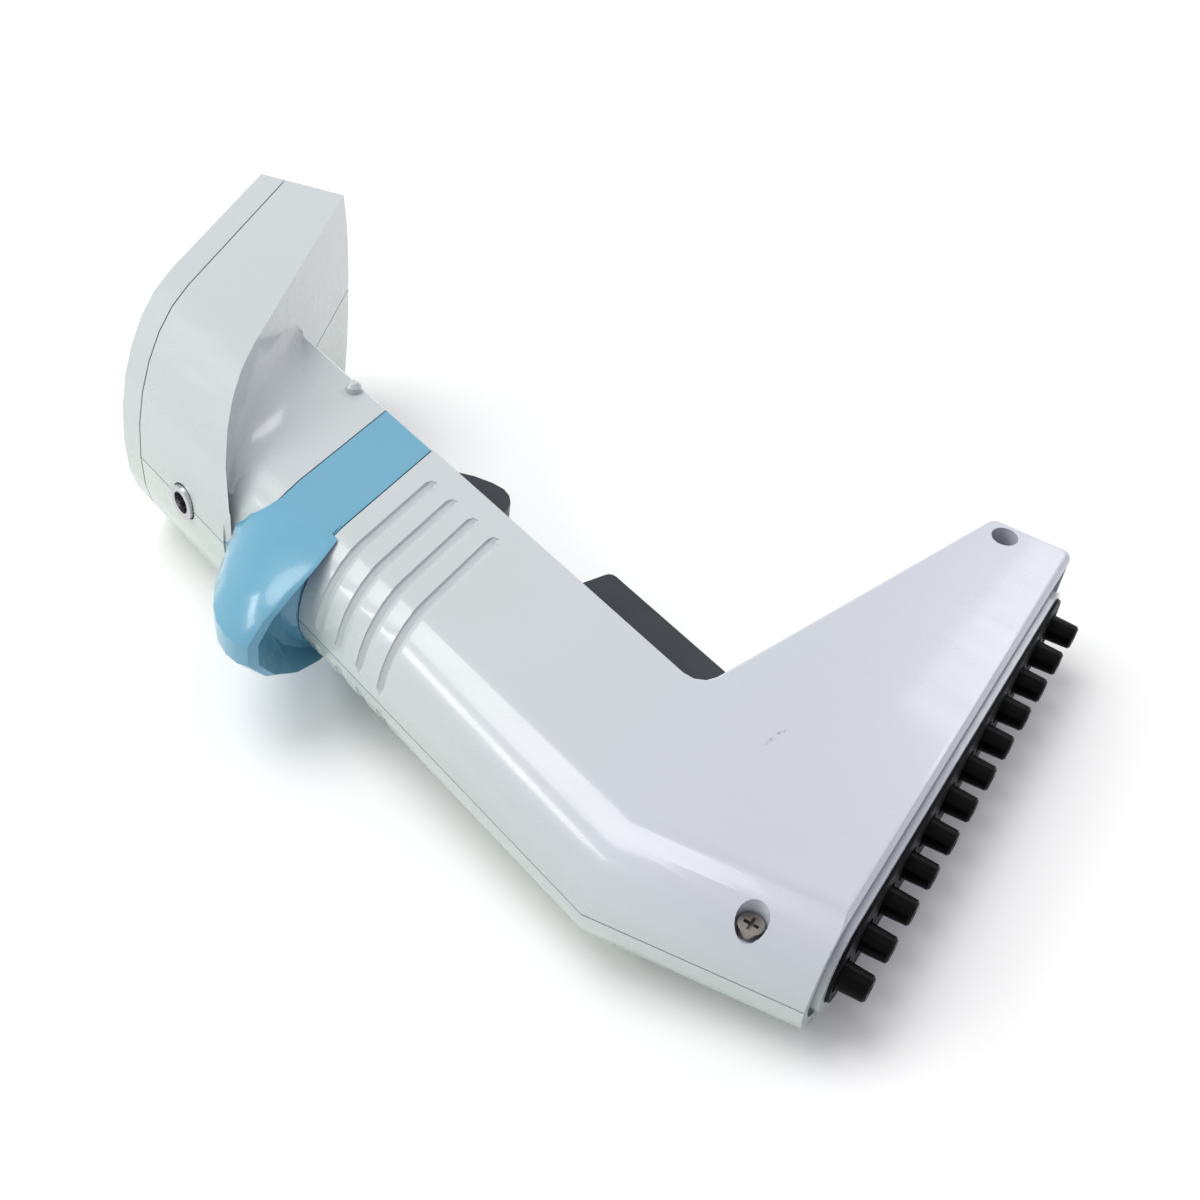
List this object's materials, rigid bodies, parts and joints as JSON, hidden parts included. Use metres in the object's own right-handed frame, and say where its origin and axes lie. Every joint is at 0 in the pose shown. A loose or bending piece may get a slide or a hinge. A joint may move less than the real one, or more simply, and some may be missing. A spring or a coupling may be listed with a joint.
{
  "type": "multichannel pipette",
  "caption": "Hand-held electronic pipette with a display head, finger hook collar, grip handle, run trigger and eject lever, and a wide manifold with a straight row of nozzles.",
  "frame": {"origin": "middle of the bounding box at its bottom, where the head's flat side rests as the tool lies on its side", "axes": "+X the way the nozzles point, +Y along the row of nozzles away from the back of the handle, +Z across the tool from one half of the case to the other"},
  "size_m": [0.2016, 0.1212, 0.054],
  "materials": {
    "white_shell": "glossy moulding",
    "blue_collar": "glossy moulding",
    "battery_wrap": "shrink wrap",
    "dark_lever": "satin moulding",
    "black_nozzle": "smooth moulding",
    "window": "clear tinted panel over a dark display",
    "steel": "plain steel",
    "inner_plastic": "plain moulding",
    "board": "coated board",
    "key_rubber": "soft keys"
  },
  "bodies": {
    "case_body": {"head_shell_right": "white_shell", "head_shell_left": "white_shell", "front_bezel": "white_shell", "display_window": "window", "lcd_module": "window", "main_board": "board", "keypad_mat": "key_rubber", "charging_jack": "steel", "battery_pack": "battery_wrap", "hook_collar": "blue_collar", "housing_right": "white_shell", "housing_left": "white_shell", "housing_screw_far": "steel", "housing_screw_near": "steel", "drive_chassis": "inner_plastic", "drive_motor": "steel", "guide_rod_front": "steel", "guide_rod_back": "steel", "cylinder_block": "inner_plastic", "channel_plate": "inner_plastic", "channel_cover_right": "inner_plastic", "channel_cover_left": "inner_plastic", "nozzle_block": "inner_plastic", "eject_lever_pin": "steel", "trigger_pin": "steel", "trigger_switch": "dark_lever", "nozzle_01": "black_nozzle", "nozzle_02": "black_nozzle", "nozzle_03": "black_nozzle", "nozzle_04": "black_nozzle", "nozzle_05": "black_nozzle", "nozzle_06": "black_nozzle", "nozzle_07": "black_nozzle", "nozzle_08": "black_nozzle", "nozzle_09": "black_nozzle", "nozzle_10": "black_nozzle", "nozzle_11": "black_nozzle", "nozzle_12": "black_nozzle"},
    "eject_lever_body": {"eject_lever": "dark_lever"},
    "ejector_body": {"ejector_skirt": "white_shell", "ejector_plate": "black_nozzle"},
    "run_trigger_body": {"run_trigger": "dark_lever"},
    "carriage_body": {"piston_carriage": "inner_plastic", "piston_rack_right": "steel", "piston_rack_left": "steel"},
    "lead_screw_body": {"lead_screw": "steel"},
    "key_1_body": {"key_1": "key_rubber"},
    "key_2_body": {"key_2": "key_rubber"},
    "key_3_body": {"key_3": "key_rubber"},
    "key_4_body": {"key_4": "key_rubber"}
  },
  "joints": [
    {"name": "eject_lever_swing", "type": "hinge", "parent": "case_body", "child": "eject_lever_body", "pos_m": [0.04502, -0.01813, 0.027], "axis": [0, 0, 1], "range_deg": [0, 10]},
    {"name": "ejector_slide", "type": "slide", "parent": "case_body", "child": "ejector_body", "axis": [1, 0, 0], "range_m": [0, 0.00418], "stiffness_N_per_m": 520, "springref_m": -0.0036},
    {"name": "run_trigger_press", "type": "hinge", "parent": "case_body", "child": "run_trigger_body", "pos_m": [-0.02023, 0.00336, 0.027], "axis": [0, 0, -1], "range_deg": [0, 9], "stiffness_Nm_per_rad": 0.1, "springref_deg": -5.73},
    {"name": "piston_drive", "type": "slide", "parent": "case_body", "child": "carriage_body", "axis": [0.9475, -0.3198, 0], "range_m": [0, 0.0105]},
    {"name": "lead_screw_turn", "type": "hinge", "parent": "case_body", "child": "lead_screw_body", "pos_m": [0.01587, -0.02571, 0.027], "axis": [0.9475, -0.3198, 0], "range_deg": [0, 1891]},
    {"name": "key_1_press", "type": "slide", "parent": "case_body", "child": "key_1_body", "axis": [0.9709, 0.2393, 0], "range_m": [0, 0.0006], "stiffness_N_per_m": 1000, "springref_m": -0.0004},
    {"name": "key_2_press", "type": "slide", "parent": "case_body", "child": "key_2_body", "axis": [0.9709, 0.2393, 0], "range_m": [0, 0.0006], "stiffness_N_per_m": 1000, "springref_m": -0.0004},
    {"name": "key_3_press", "type": "slide", "parent": "case_body", "child": "key_3_body", "axis": [0.9709, 0.2393, 0], "range_m": [0, 0.0006], "stiffness_N_per_m": 1000, "springref_m": -0.0004},
    {"name": "key_4_press", "type": "slide", "parent": "case_body", "child": "key_4_body", "axis": [0.9709, 0.2393, 0], "range_m": [0, 0.0006], "stiffness_N_per_m": 1000, "springref_m": -0.0004}
  ],
  "couplings": [
    {"joint": "eject_lever_swing", "follows": "ejector_slide", "rad_per_m": 41.667},
    {"joint": "lead_screw_turn", "follows": "piston_drive", "rad_per_m": 3141.6}
  ]
}
